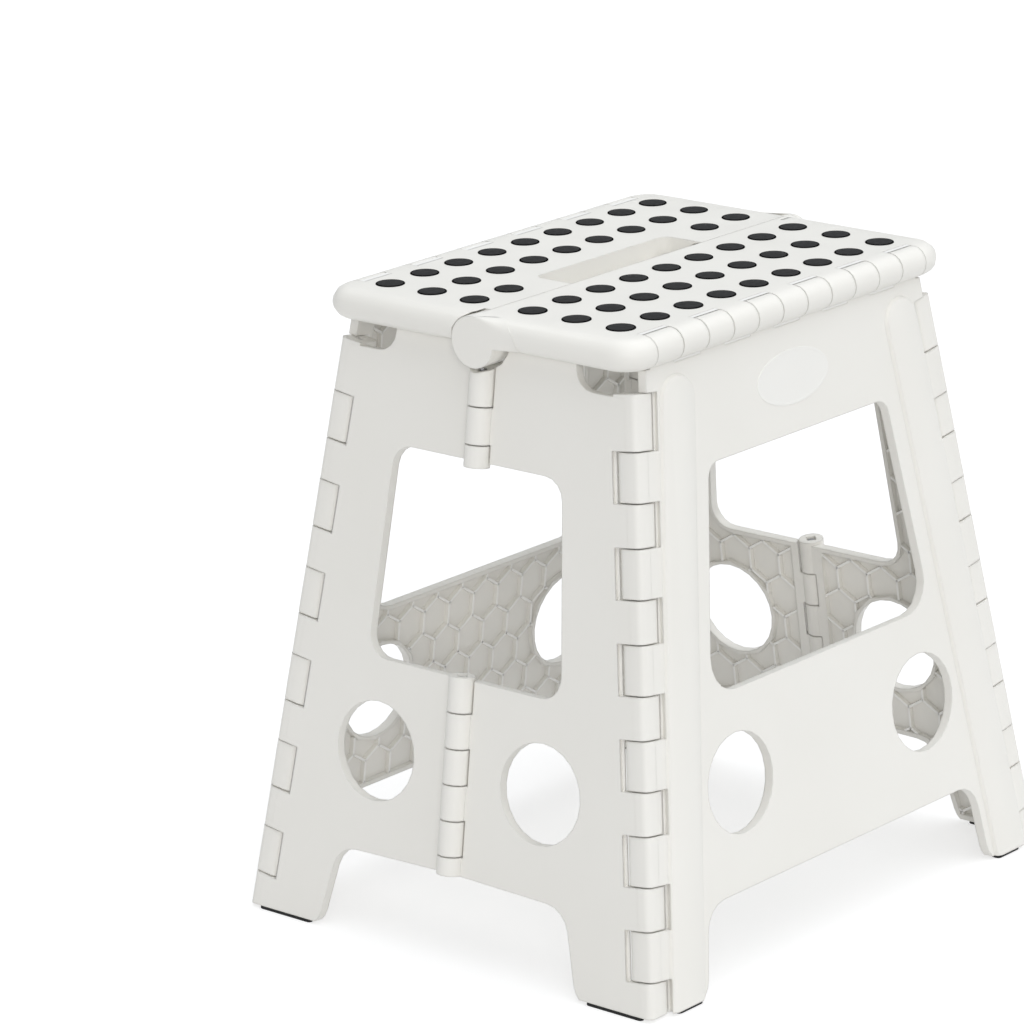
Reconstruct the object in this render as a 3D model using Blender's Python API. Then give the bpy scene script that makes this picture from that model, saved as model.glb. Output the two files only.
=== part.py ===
"""Folding step stool: two hinged seat halves on two leg panels, tied by four folding side halves.

X runs along the seat's centre seam, the front leg panel stands at -Y, Z is up, and the origin lies
on the floor under the middle of the seat. Sizes are in metres.
"""
import math

import bmesh
import bpy
from mathutils import Matrix, Vector

# Overall sizes
SEAT_HEIGHT = 0.390          # floor to the flat of the seat
SEAT_LENGTH = 0.306          # along the seam
SEAT_WIDTH = 0.240           # across both halves
SEAT_THICK = 0.0195          # the long edges are full round
FOOT_LENGTH = 0.3867         # over the outer faces at the floor
FOOT_WIDTH = 0.320
WAIST_LENGTH = 0.2818        # over the outer faces at the underside of the seat
WAIST_WIDTH = 0.2253

# Panels and hinges
PANEL_WALL = 0.0060          # depth of the leg panels and side halves
PANEL_INNER = 0.0032         # corner axis to their inner faces
FOLD_GAP = 0.0010            # air between two side halves that lie folded on each other
KNUCKLE_REACH = 0.0082       # corner axis to the free faces of a corner knuckle
KNUCKLE_ROUND = 0.0040       # soft edges of a corner knuckle
KNUCKLE_SINK = 0.0001        # its outer face below that of its panel
CENTRE_RADIUS = 0.0080       # barrels in the middle of each end
SEAM_RADIUS = 0.0144         # knuckles under the seat's seam
LOBE_RADIUS = 0.0158         # and the large ones at its two ends
SEAM_DEPTH = 0.0160          # seam axis below the flat of the seat
PIN_RADIUS = 0.0020
PIN_FOOT = 0.0115            # floor to the lower ends of the corner pins
PIN_CLEAR = 0.0003
LOOSE_PIN_CLEAR = 0.0009     # bores of the half that takes up the play of the end hinge
SEAM_PIN_CLEAR = 0.0034      # bores of the rear half that take up the play of the seam
KNUCKLE_GAP = 0.0008         # between neighbouring knuckles, along the axis
NOTCH_CLEAR = 0.0018         # round a turning corner knuckle
CENTRE_CLEAR = 0.0012        # round an end barrel
SEAT_CLEAR = 0.0016          # round a seat barrel
SEAM_CLEAR = 0.0010          # round a seam knuckle
SEAM_GAP = 0.0004            # between the two seat halves

# Knuckle rows
LEG_KNUCKLE = 0.0292         # height of a leg panel's corner knuckle
SIDE_KNUCKLE = 0.0254        # height of a side half's corner knuckle
FIRST_KNUCKLE = 0.0212       # floor to the lowest leg knuckle
CORNER_DROP = 0.0145         # underside of the seat to the upper end of the corner knuckles
SEAT_KNUCKLE = 0.0234        # width of a knuckle on the seat's long edge
SEAT_KNUCKLES = 11
SEAM_KNUCKLE = 0.0147        # width of a knuckle under the seam
SEAM_KNUCKLES = 6            # on each side of the handle
CENTRE_LOW = 0.0535          # bottom of the lower end hinge
CENTRE_STEP = 0.0216         # height of a knuckle on the lower end hinge
CENTRE_STEPS = 5
CENTRE_FOOT = 0.0115         # height of its lowest knuckle
UPPER_DROP = 0.0735          # underside of the seat to the bottom of the upper end hinge
UPPER_STEPS = (0.0135, 0.0225, 0.0230)

# Leg panel outline
LEG_WINDOW_LOW = 0.170
LEG_WINDOW_DROP = 0.0665     # underside of the seat to the window's top
LEG_WINDOW_LOW_INSET = 0.052     # corner axis to the window, at its lower edge
LEG_WINDOW_HIGH_INSET = 0.055    # and at its top
LEG_WINDOW_LOW_ROUND = 0.020
LEG_WINDOW_HIGH_ROUND = 0.010
ARCH_HEIGHT = 0.0515         # underside between the feet
LEG_FOOT_HIGH_INSET = 0.0448     # corner axis to a foot's inner edge, under the arch
LEG_FOOT_LOW_INSET = 0.0431      # and at the floor
ARCH_ROUND = 0.018
FOOT_ROUND = 0.014
FOOT_OVERRUN = 0.0044        # of a panel past the level to which its feet are cut
HOLE_RADIUS = 0.0305
HOLE_HEIGHT = 0.1147
LEG_HOLE_INSET = 0.0778      # corner axis to a leg panel's hole
SIDE_HOLE_INSET = 0.0718     # corner axis to a side half's hole
RIDGE_WIDTH = 0.031          # raised band down each leg
RIDGE_RISE = 0.0035
RIDGE_ROUND = 0.0042         # its rounded edges, which dip under the panel's face
RIDGE_FOOT_INSET = 0.0225    # corner axis to the middle of the band, at the floor
RIDGE_TOP_INSET = 0.0270     # and at its top
RIDGE_DROP = 0.0125          # underside of the seat to the band's top
RIDGE_STEPS = 1
RIDGE_END = 0.95             # roundness of its upper end

# Side half outline
SIDE_DROP = 0.0020           # underside of the seat to the top of a side half
SIDE_WINDOW_LOW = 0.171
SIDE_WINDOW_DROP = 0.0705    # underside of the seat to the window's top
SIDE_WINDOW_LOW_INSET = 0.0534   # corner axis to the window, at its lower edge
SIDE_WINDOW_HIGH_INSET = 0.0479  # and at its top
SIDE_WINDOW_ROUND = 0.014
SIDE_FOOT_HIGH_INSET = 0.0551    # corner axis to a foot's inner edge, under the arch
SIDE_FOOT_LOW_INSET = 0.0487     # and at the floor
SIDE_NOTCH_INSET = 0.0365    # corner axis to the far end of the notch under the seat's corner
SIDE_NOTCH_DROP = 0.0170     # underside of the seat to the notch
SIDE_NOTCH_ROUND = 0.013
LOBE_CLEAR = 0.0030          # round the seam's end knuckle, in the top of the side halves

# Hollow backs of the panels and side halves
SKIN = 0.0026                # outer skin over the hollow
RIM = 0.0030                 # walls round its edges and openings
HOLLOW_ROUND = 0.004

# Seat
SEAT_CORNER = 0.020          # corner radius in plan
SEAT_SKIN = 0.0034
SEAT_RIB = 0.0026
SEAT_POCKETS_LONG = 8
SEAT_POCKETS_ACROSS = 2
SEAT_RIM = 0.0045            # wall at the ends, inside the round edge
RELIEF_REACH = 0.042         # slope under the seam, so that the folded undersides don't meet
DOT_RADIUS = 0.0079
DOT_RISE = 0.0005
DOT_PITCH = 0.0310           # along the seam
DOT_ROW_PITCH = 0.0331
DOT_FIRST_ROW = 0.0223       # seam to the first row
DOT_COLUMNS = 9
DOT_ROWS = 3

# Handle on the front half and its slot in the rear half
HANDLE_HALF = 0.058
HANDLE_REACH = 0.0275        # past the seam
HANDLE_THICK = 0.0065
HANDLE_ROOT = 0.012          # reach into its seat half
HANDLE_GAP = 0.0003          # round its root
HANDLE_LEG = 0.014
HANDLE_BAR = 0.0075
HANDLE_ROUND = 0.009
GRIP_WAVES = 4
GRIP_WAVE = 0.0009
SLOT_CLEAR = 0.004           # slot ends beyond the handle
SLOT_REACH = 0.0290          # far wall of the slot from the seam
SLOT_ROUND = 0.006

# Rubber pads
PAD_HEIGHT = 0.0022          # underside of the feet above the floor
PAD_GAP = 0.0003
PAD_INSET = 0.0012
PAD_ROUND = 0.002

# Facets
ROUND_SIDES = 16             # seat edge and seam
BARREL_SIDES = 12            # end hinges
NOTCH_SIDES = 8              # notches at the corners
BORE_SIDES = 4
PIN_SIDES = 8
DOT_SIDES = 6
HOLE_SIDES = 24
HOLLOW_SIDES = 12            # walls round the holes, on the back
ARC_STEP = math.radians(22.5)
KNUCKLE_STEP = math.radians(30)  # soft edges of the corner knuckles
COARSE_STEP = math.radians(45)   # pads, and hollows on the back
SMOOTH_ANGLE = math.radians(35)
FLAT_ANGLE = math.radians(0.5)   # faces that turn less are merged into one
MERGE = 1e-6

# Worked out from the sizes above
SEAT_UNDER = SEAT_HEIGHT - SEAT_THICK
EDGE_RADIUS = SEAT_THICK / 2
LEAN_X = (FOOT_LENGTH - WAIST_LENGTH) / 2 / SEAT_UNDER
LEAN_Y = (FOOT_WIDTH - WAIST_WIDTH) / 2 / SEAT_UNDER
SLANT_X = math.hypot(1, LEAN_X)
SLANT_Y = math.hypot(1, LEAN_Y)
PANEL_OUTER = PANEL_INNER + PANEL_WALL
AXIS_X = FOOT_LENGTH / 2 - PANEL_OUTER * SLANT_X
AXIS_Y = FOOT_WIDTH / 2 - PANEL_OUTER * SLANT_Y
KNUCKLE_TURN = math.hypot(KNUCKLE_REACH - KNUCKLE_ROUND, PANEL_OUTER - KNUCKLE_ROUND) + KNUCKLE_ROUND
CORNER_NOTCH = KNUCKLE_TURN + NOTCH_CLEAR
CENTRE_OFFSET = PANEL_OUTER + FOLD_GAP / 2
SEAT_AXIS_Y = SEAT_WIDTH / 2 - EDGE_RADIUS
SEAT_AXIS_Z = SEAT_HEIGHT - EDGE_RADIUS
SEAM_AXIS_Z = SEAT_HEIGHT - SEAM_DEPTH
CORNER_PITCH = LEG_KNUCKLE + SIDE_KNUCKLE
CORNER_END = SEAT_UNDER - CORNER_DROP
LEG_KNUCKLES = int((CORNER_END - FIRST_KNUCKLE) / CORNER_PITCH)
LAST_KNUCKLE = FIRST_KNUCKLE + (LEG_KNUCKLES - 1) * CORNER_PITCH + LEG_KNUCKLE
LEG_WINDOW_HIGH = SEAT_UNDER - LEG_WINDOW_DROP
RIDGE_TOP = SEAT_UNDER - RIDGE_DROP
SIDE_TOP = SEAT_UNDER - SIDE_DROP
SIDE_WINDOW_HIGH = SEAT_UNDER - SIDE_WINDOW_DROP
SIDE_NOTCH_LOW = SEAT_UNDER - SIDE_NOTCH_DROP
UPPER_LOW = SEAT_UNDER - UPPER_DROP
CENTRE_HIGH = CENTRE_LOW + CENTRE_FOOT + CENTRE_STEPS * CENTRE_STEP
UPPER_HIGH = UPPER_LOW + sum(UPPER_STEPS)
SEAT_ROW_HALF = SEAT_KNUCKLES * SEAT_KNUCKLE / 2
SLOT_HALF = HANDLE_HALF + SLOT_CLEAR
LOBE_END = SLOT_HALF + SEAM_KNUCKLES * SEAM_KNUCKLE
FAR = 1.0                    # reach of a cutter that only has to be large

HALF_TURN = Matrix.Rotation(math.pi, 4, "Z")


def panel_frame(origin, across, up):
    """Frame with its X across a panel, its Y up the slant and its Z out of the outer face."""
    across = Vector(across).normalized()
    up = Vector(up).normalized()
    out = across.cross(up)
    frame = Matrix((across, up, out)).transposed().to_4x4()
    frame.translation = origin
    return frame


FRONT = panel_frame(Vector((0, -AXIS_Y, 0)), (1, 0, 0), (0, LEAN_Y, 1))
LEFT = panel_frame(Vector((-AXIS_X, 0, 0)), (0, -1, 0), (LEAN_X, 0, 1))
LEVEL = Matrix.Identity(4)


def corner_axis(side, front, height):
    """Point of a slanted corner axis; side and front are -1 or 1."""
    return Vector((side * leg_edge(height), front * side_edge(height), height))


def leg_edge(height, inset=0):
    """Half width of a leg panel at a height, between the corner axes or so far inside them."""
    return AXIS_X - LEAN_X * height - inset


def side_edge(height, inset=0):
    """Half width of an end wall at a height, between the corner axes or so far inside them."""
    return AXIS_Y - LEAN_Y * height - inset


def centre_axis(height):
    """Point of the left end's middle axis."""
    return Vector((-leg_edge(height), 0, height)) + LEFT.col[2].xyz * CENTRE_OFFSET


def seat_axis(x):
    """Point of the front seat axis."""
    return Vector((x, -SEAT_AXIS_Y, SEAT_AXIS_Z))


def seam_axis(x):
    """Point of the seam axis."""
    return Vector((x, 0, SEAM_AXIS_Z))


def clear_scene():
    """Removes every object of the open file."""
    for thing in list(bpy.data.objects):
        bpy.data.objects.remove(thing, do_unlink=True)


def new_collection(name):
    """New collection in the scene."""
    group = bpy.data.collections.new(name)
    bpy.context.scene.collection.children.link(group)
    return group


clear_scene()
PARTS = new_collection("folding_step_stool")


def new_object(name, data, collection=None):
    """New object in the stool's collection."""
    thing = bpy.data.objects.new(name, data)
    (collection or PARTS).objects.link(thing)
    return thing


def evaluated_mesh(thing):
    """New mesh of the object with its modifiers, in world space, seams merged and faces turned out."""
    graph = bpy.context.evaluated_depsgraph_get()
    mesh = bpy.data.meshes.new_from_object(thing.evaluated_get(graph))
    mesh.transform(thing.matrix_world)
    body = bmesh.new()
    body.from_mesh(mesh)
    bmesh.ops.remove_doubles(body, verts=body.verts, dist=MERGE)
    if body.calc_volume(signed=True) < 0:
        bmesh.ops.reverse_faces(body, faces=body.faces)
    body.to_mesh(mesh)
    body.free()
    return mesh


def rounded(corners, arc_step=ARC_STEP):
    """Closed outline through (across, up, radius) corners, with arcs where the radius isn't zero."""
    points = []
    count = len(corners)
    for index, (across, up, radius) in enumerate(corners):
        here = Vector((across, up))
        if radius <= 0:
            points.append(here)
            continue
        before = (Vector(corners[index - 1][:2]) - here).normalized()
        after = (Vector(corners[(index + 1) % count][:2]) - here).normalized()
        half = before.angle(after) / 2
        middle = here + (before + after).normalized() * radius / math.sin(half)
        start = here + before * radius / math.tan(half) - middle
        turn = math.pi - 2 * half
        sign = 1 if before.x * after.y - before.y * after.x < 0 else -1
        steps = max(1, math.ceil(turn / arc_step - MERGE))
        for step in range(steps + 1):
            spin = Matrix.Rotation(sign * turn * step / steps, 2)
            points.append(middle + spin @ start)
    return points


def circle(across, up, radius, sides=HOLE_SIDES):
    """Closed round outline."""
    turns = [2 * math.pi * index / sides for index in range(sides)]
    return [Vector((across + radius * math.cos(turn), up + radius * math.sin(turn))) for turn in turns]


def slanted(points, slant):
    """Outline with its heights stretched from the vertical to the slant of its panel."""
    return [Vector((point.x, point.y * slant)) for point in points]


def prism(name, frame, outlines, low, high, round_edge=0.0, edge_steps=3):
    """Solid between two levels of a frame, from an outline and the outlines of its holes."""
    curve = bpy.data.curves.new(name, "CURVE")
    curve.dimensions = "2D"
    curve.fill_mode = "BOTH"
    curve.extrude = (high - low) / 2 - round_edge
    curve.bevel_depth = round_edge
    curve.bevel_resolution = edge_steps
    for outline in outlines:
        spline = curve.splines.new("POLY")
        spline.points.add(len(outline) - 1)
        for point, place in zip(spline.points, outline):
            point.co = (place.x, place.y, 0, 1)
        spline.use_cyclic_u = True
    thing = new_object(name, curve)
    thing.matrix_world = frame @ Matrix.Translation((0, 0, (low + high) / 2))
    bpy.context.view_layer.update()
    mesh = evaluated_mesh(thing)
    bpy.data.objects.remove(thing)
    return new_object(name, mesh)


def rods(name, spans, sides=ROUND_SIDES):
    """Round bars from (start, end, radius) spans that don't touch each other."""
    body = bmesh.new()
    for start, end, radius in spans:
        along = end - start
        place = Matrix.Translation((start + end) / 2) @ along.to_track_quat("Z", "Y").to_matrix().to_4x4()
        bmesh.ops.create_cone(body, cap_ends=True, segments=sides, radius1=radius, radius2=radius,
                              depth=along.length, matrix=place)
    mesh = bpy.data.meshes.new(name)
    body.to_mesh(mesh)
    body.free()
    return new_object(name, mesh)


def flat_rods(name, spans, sides):
    """Few-sided bars with the full radius across their flats."""
    wide = 1 / math.cos(math.pi / sides)
    return rods(name, [(start, end, radius * wide) for start, end, radius in spans], sides)


def bore_rods(spans):
    """Cutters for pin bores."""
    return flat_rods("bores", spans, BORE_SIDES)


def boxes(name, spans):
    """Blocks from (low corner, high corner) spans that don't touch each other."""
    body = bmesh.new()
    for low, high in spans:
        low = Vector(low)
        high = Vector(high)
        size = Matrix.Diagonal((high - low).to_4d())
        size[3][3] = 1
        bmesh.ops.create_cube(body, size=1, matrix=Matrix.Translation((low + high) / 2) @ size)
    mesh = bpy.data.meshes.new(name)
    body.to_mesh(mesh)
    body.free()
    return new_object(name, mesh)


def combine(target, tool, operation):
    """Joins or cuts the target with the tool, which is used up."""
    modifier = target.modifiers.new(tool.name, "BOOLEAN")
    modifier.object = tool
    modifier.operation = operation
    mesh = evaluated_mesh(target)
    target.modifiers.clear()
    target.data = mesh
    bpy.data.objects.remove(tool)


def join(target, tool):
    """Adds the tool's material to the target."""
    combine(target, tool, "UNION")


def cut(target, tool):
    """Takes the tool's room out of the target."""
    combine(target, tool, "DIFFERENCE")


def spans_of(axis, intervals, radius, grow):
    """Rod spans along an axis for intervals that are lengthened by grow in all."""
    return [(axis(low - grow / 2), axis(high + grow / 2), radius) for low, high in intervals]


def leg_intervals():
    """Heights of a leg panel's corner knuckles."""
    starts = [FIRST_KNUCKLE + CORNER_PITCH * index for index in range(LEG_KNUCKLES)]
    return [(start, start + LEG_KNUCKLE) for start in starts]


def side_intervals():
    """Heights of a side half's corner knuckles, with its lowest one run through the floor."""
    legs = leg_intervals()
    between = [(low[1], high[0]) for low, high in zip(legs, legs[1:])]
    return [(-SIDE_KNUCKLE, FIRST_KNUCKLE)] + between + [(LAST_KNUCKLE, CORNER_END)]


def seat_intervals(own):
    """Places along the seat's long edge: the leg panel's knuckles, or the seat's own between them."""
    edges = [-SEAT_ROW_HALF + SEAT_KNUCKLE * index for index in range(SEAT_KNUCKLES + 1)]
    pairs = list(zip(edges, edges[1:]))
    return pairs[1::2] if own else pairs[0::2]


def seam_intervals(front):
    """Places along the seam of the front half's knuckles, or of the rear half's, within the end ones."""
    left = [(-LOBE_END + SEAM_KNUCKLE * index, -LOBE_END + SEAM_KNUCKLE * (index + 1))
            for index in range(1, SEAM_KNUCKLES)]
    right = [(-high, -low) for low, high in left]
    if front:
        return left[1::2] + right[0::2]
    return left[0::2] + right[1::2]


def lobe_interval(front, outer):
    """Place along the seam of a half's large knuckle: the left end of the front half, the right of the rear."""
    inner = LOBE_END - SEAM_KNUCKLE
    return (-outer, -inner) if front else (inner, outer)


def centre_intervals(front):
    """Heights of the end hinge's knuckles on the front side half, or on the rear one."""
    lower = [(CENTRE_LOW, CENTRE_LOW + CENTRE_FOOT)]
    for index in range(CENTRE_STEPS):
        lower.append((lower[-1][1], lower[-1][1] + CENTRE_STEP))
    upper = []
    start = UPPER_LOW
    for step in UPPER_STEPS:
        upper.append((start, start + step))
        start += step
    if front:
        return lower[0::2] + upper[1::2]
    return lower[1::2] + upper[0::2]


def corner_bar(frame, side, front, away, low, high):
    """Softly squared bar along a corner axis, level with its panel's outer face and set off away from it."""
    foot = corner_axis(side, front, 0)
    along = corner_axis(side, front, 1) - foot
    out = frame.col[2].xyz
    across = along.cross(out).normalized()
    if across.dot(Vector(away)) < 0:
        across.negate()
    place = Matrix((across, out, along.normalized())).transposed().to_4x4()
    place.translation = foot
    top = PANEL_OUTER - KNUCKLE_SINK
    outline = rounded([
        (-KNUCKLE_REACH, top, 0), (-KNUCKLE_REACH, -KNUCKLE_REACH, KNUCKLE_ROUND),
        (KNUCKLE_REACH, -KNUCKLE_REACH, KNUCKLE_ROUND), (KNUCKLE_REACH, top, KNUCKLE_ROUND)], KNUCKLE_STEP)
    return prism("corner", place, [outline], low * along.length, high * along.length)


def flatten_feet(panel):
    """Cuts a panel level, a pad's thickness above the floor."""
    cut(panel, boxes("floor", [((-FAR, -FAR, -FAR), (FAR, FAR, PAD_HEIGHT))]))


def leg_panel():
    """Front leg panel: plate with a window, two holes and two feet, and barrels on three edges."""
    low = PAD_HEIGHT - FOOT_OVERRUN
    shoulder = SEAT_UNDER - SEAT_CLEAR
    edge_low = leg_edge(low)
    edge_high = leg_edge(shoulder)
    foot_low = leg_edge(low, LEG_FOOT_LOW_INSET)
    foot_high = leg_edge(ARCH_HEIGHT, LEG_FOOT_HIGH_INSET)
    row_half = SEAT_ROW_HALF - KNUCKLE_GAP
    plate = rounded([
        (-edge_low, low, 0), (-foot_low, low, FOOT_ROUND), (-foot_high, ARCH_HEIGHT, ARCH_ROUND),
        (foot_high, ARCH_HEIGHT, ARCH_ROUND), (foot_low, low, FOOT_ROUND), (edge_low, low, 0),
        (edge_high, shoulder, 0), (row_half, shoulder, 0), (row_half, SEAT_AXIS_Z, 0), (-row_half, SEAT_AXIS_Z, 0),
        (-row_half, shoulder, 0), (-edge_high, shoulder, 0)])
    outlines = [slanted(plate, SLANT_Y), slanted(leg_window(), SLANT_Y)] + leg_holes()
    panel = prism("front_leg_panel", FRONT, outlines, PANEL_INNER, PANEL_OUTER)
    for side in (-1, 1):
        join(panel, leg_ridge(side))
    flatten_feet(panel)
    for side in (-1, 1):
        join(panel, corner_bar(FRONT, side, -1, (side, 0, 0), FIRST_KNUCKLE, LAST_KNUCKLE))
    join(panel, rods("edge", [(seat_axis(-SEAT_ROW_HALF), seat_axis(SEAT_ROW_HALF), EDGE_RADIUS)]))
    cut(panel, rods("edge_notches", spans_of(seat_axis, seat_intervals(own=True), EDGE_RADIUS + SEAT_CLEAR,
                                             KNUCKLE_GAP)))
    notches = []
    for side in (-1, 1):
        notches += spans_of(lambda height: corner_axis(side, -1, height), side_intervals(),
                            CORNER_NOTCH, KNUCKLE_GAP)
    cut(panel, flat_rods("notches", notches, NOTCH_SIDES))
    cut(panel, leg_hollow())
    bores = [(seat_axis(-FAR), seat_axis(FAR), PIN_RADIUS + PIN_CLEAR)]
    for side in (-1, 1):
        bores.append((corner_axis(side, -1, PAD_HEIGHT), corner_axis(side, -1, LAST_KNUCKLE + KNUCKLE_GAP),
                      PIN_RADIUS + PIN_CLEAR))
    cut(panel, bore_rods(bores))
    return panel


def leg_hollow():
    """Room behind the front panel's skin, with walls round every opening."""
    low = PAD_HEIGHT + RIM
    high = SEAT_AXIS_Z - EDGE_RADIUS - SEAT_CLEAR - RIM
    inset = CORNER_NOTCH + RIM
    edge_low = leg_edge(low, inset)
    edge_high = leg_edge(high, inset)
    foot_low = leg_edge(low, LEG_FOOT_LOW_INSET) + RIM
    foot_high = leg_edge(ARCH_HEIGHT, LEG_FOOT_HIGH_INSET) + RIM
    arch = ARCH_HEIGHT + RIM
    outline = rounded([
        (-edge_low, low, 0), (-foot_low, low, 0), (-foot_high, arch, ARCH_ROUND - RIM),
        (foot_high, arch, ARCH_ROUND - RIM), (foot_low, low, 0), (edge_low, low, 0),
        (edge_high, high, HOLLOW_ROUND), (-edge_high, high, HOLLOW_ROUND)], COARSE_STEP)
    window = slanted(leg_window(RIM, COARSE_STEP), SLANT_Y)
    outlines = [slanted(outline, SLANT_Y), window] + leg_holes(RIM, HOLLOW_SIDES)
    return prism("hollow", FRONT, outlines, PANEL_INNER - PANEL_WALL, PANEL_OUTER - SKIN)


def leg_window(grow=0, arc_step=ARC_STEP):
    """Outline of the front panel's window, widened all round."""
    low_half = leg_edge(LEG_WINDOW_LOW, LEG_WINDOW_LOW_INSET) + grow
    high_half = leg_edge(LEG_WINDOW_HIGH, LEG_WINDOW_HIGH_INSET) + grow
    low_round = LEG_WINDOW_LOW_ROUND + grow
    high_round = LEG_WINDOW_HIGH_ROUND + grow
    low = LEG_WINDOW_LOW - grow
    high = LEG_WINDOW_HIGH + grow
    return rounded([(-low_half, low, low_round), (low_half, low, low_round), (high_half, high, high_round),
                    (-high_half, high, high_round)], arc_step)


def leg_holes(grow=0, sides=HOLE_SIDES):
    """Outlines of the front panel's two round holes, widened all round."""
    across = leg_edge(HOLE_HEIGHT, LEG_HOLE_INSET)
    return [circle(side * across, HOLE_HEIGHT * SLANT_Y, HOLE_RADIUS + grow, sides) for side in (-1, 1)]


def leg_ridge(side):
    """Raised round band down one leg of the front panel."""
    half = RIDGE_WIDTH / 2
    low = PAD_HEIGHT - FOOT_OVERRUN
    middle_low = leg_edge(low, RIDGE_FOOT_INSET)
    middle_high = leg_edge(RIDGE_TOP, RIDGE_TOP_INSET)
    inset = half - RIDGE_ROUND
    top_round = inset * RIDGE_END
    outline = rounded([
        (side * middle_low - inset, low, 0), (side * middle_low + inset, low, 0),
        (side * middle_high + inset, RIDGE_TOP, top_round), (side * middle_high - inset, RIDGE_TOP, top_round)])
    top = PANEL_OUTER + RIDGE_RISE
    return prism("ridge", FRONT, [slanted(outline, SLANT_Y)], top - 2 * RIDGE_ROUND, top, RIDGE_ROUND, RIDGE_STEPS)


def side_half(front):
    """Left side half at the front or at the rear: an E-shaped plate with barrels on both long edges."""
    sign = 1 if front else -1
    low = PAD_HEIGHT - FOOT_OVERRUN
    gap = FOLD_GAP / 2
    notch = side_edge(SIDE_NOTCH_LOW, SIDE_NOTCH_INSET)
    corners = [
        (gap, CENTRE_LOW, 0), (side_edge(ARCH_HEIGHT, SIDE_FOOT_HIGH_INSET), ARCH_HEIGHT, ARCH_ROUND),
        (side_edge(low, SIDE_FOOT_LOW_INSET), low, FOOT_ROUND), (side_edge(low), low, 0),
        (side_edge(SIDE_NOTCH_LOW), SIDE_NOTCH_LOW, 0), (notch, SIDE_NOTCH_LOW, SIDE_NOTCH_ROUND),
        (notch, SIDE_TOP, 0), (gap, SIDE_TOP, 0), (gap, SIDE_WINDOW_HIGH, 0),
        (side_edge(SIDE_WINDOW_HIGH, SIDE_WINDOW_HIGH_INSET), SIDE_WINDOW_HIGH, SIDE_WINDOW_ROUND),
        (side_edge(SIDE_WINDOW_LOW, SIDE_WINDOW_LOW_INSET), SIDE_WINDOW_LOW, SIDE_WINDOW_ROUND),
        (gap, SIDE_WINDOW_LOW, 0)]
    plate = rounded([(sign * across, up, radius) for across, up, radius in corners])
    name = "left_front_side" if front else "left_rear_side"
    half = prism(name, LEFT, [slanted(plate, SLANT_X), side_hole(sign)], PANEL_INNER, PANEL_OUTER)

    def corner(height):
        return corner_axis(-1, -sign, height)

    join(half, corner_bar(LEFT, -1, -sign, (0, -sign, 0), -SIDE_KNUCKLE, CORNER_END))
    join(half, rods("barrels", [
        (centre_axis(CENTRE_LOW), centre_axis(CENTRE_HIGH), CENTRE_RADIUS),
        (centre_axis(UPPER_LOW), centre_axis(UPPER_HIGH), CENTRE_RADIUS)], BARREL_SIDES))
    flatten_feet(half)
    cut(half, flat_rods("notches", spans_of(corner, leg_intervals(), CORNER_NOTCH, KNUCKLE_GAP), NOTCH_SIDES))
    cut(half, rods("end_notches", spans_of(centre_axis, centre_intervals(not front), CENTRE_RADIUS + CENTRE_CLEAR,
                                           KNUCKLE_GAP), BARREL_SIDES))
    cut(half, side_hollow(sign))
    lobe = (seam_axis(-FAR), seam_axis(0), LOBE_RADIUS + LOBE_CLEAR)
    cut(half, rods("lobe", [lobe]))
    centre_clear = PIN_CLEAR if front else LOOSE_PIN_CLEAR
    cut(half, bore_rods([
        (corner(PIN_FOOT - KNUCKLE_GAP), corner(CORNER_END + KNUCKLE_GAP), PIN_RADIUS + PIN_CLEAR),
        (centre_axis(0), centre_axis(CENTRE_HIGH + KNUCKLE_GAP), PIN_RADIUS + centre_clear),
        (centre_axis(UPPER_LOW - KNUCKLE_GAP), centre_axis(UPPER_HIGH + KNUCKLE_GAP),
         PIN_RADIUS + centre_clear)]))
    return half


def side_hollow(sign):
    """Room behind a side half's skin, with walls round its edges, window and hole."""
    low = PAD_HEIGHT + RIM
    high = SIDE_TOP - RIM
    inset = CORNER_NOTCH + RIM
    middle = CENTRE_RADIUS + CENTRE_CLEAR + RIM
    notch_low = SIDE_NOTCH_LOW - RIM
    notch_half = side_edge(SIDE_NOTCH_LOW, SIDE_NOTCH_INSET) - RIM
    foot_low = side_edge(low, SIDE_FOOT_LOW_INSET) + RIM
    foot_high = side_edge(ARCH_HEIGHT, SIDE_FOOT_HIGH_INSET) + RIM
    window_low = side_edge(SIDE_WINDOW_LOW, SIDE_WINDOW_LOW_INSET) + RIM
    window_high = side_edge(SIDE_WINDOW_HIGH, SIDE_WINDOW_HIGH_INSET) + RIM
    lobe = LOBE_RADIUS + LOBE_CLEAR + RIM
    corners = [
        (middle, CENTRE_LOW + RIM, 0), (foot_high, ARCH_HEIGHT + RIM, ARCH_ROUND - RIM), (foot_low, low, 0),
        (side_edge(low, inset), low, 0), (side_edge(notch_low, inset), notch_low, HOLLOW_ROUND),
        (notch_half, notch_low, SIDE_NOTCH_ROUND + RIM), (notch_half, high, HOLLOW_ROUND), (lobe, high, 0),
        (middle, SEAM_AXIS_Z - lobe, 0), (middle, SIDE_WINDOW_HIGH + RIM, 0),
        (window_high, SIDE_WINDOW_HIGH + RIM, SIDE_WINDOW_ROUND + RIM),
        (window_low, SIDE_WINDOW_LOW - RIM, SIDE_WINDOW_ROUND + RIM),
        (middle, SIDE_WINDOW_LOW - RIM, 0)]
    outline = rounded([(sign * across, up, radius) for across, up, radius in corners], COARSE_STEP)
    outlines = [slanted(outline, SLANT_X), side_hole(sign, RIM, HOLLOW_SIDES)]
    return prism("hollow", LEFT, outlines, PANEL_INNER - PANEL_WALL, PANEL_OUTER - SKIN)


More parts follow.
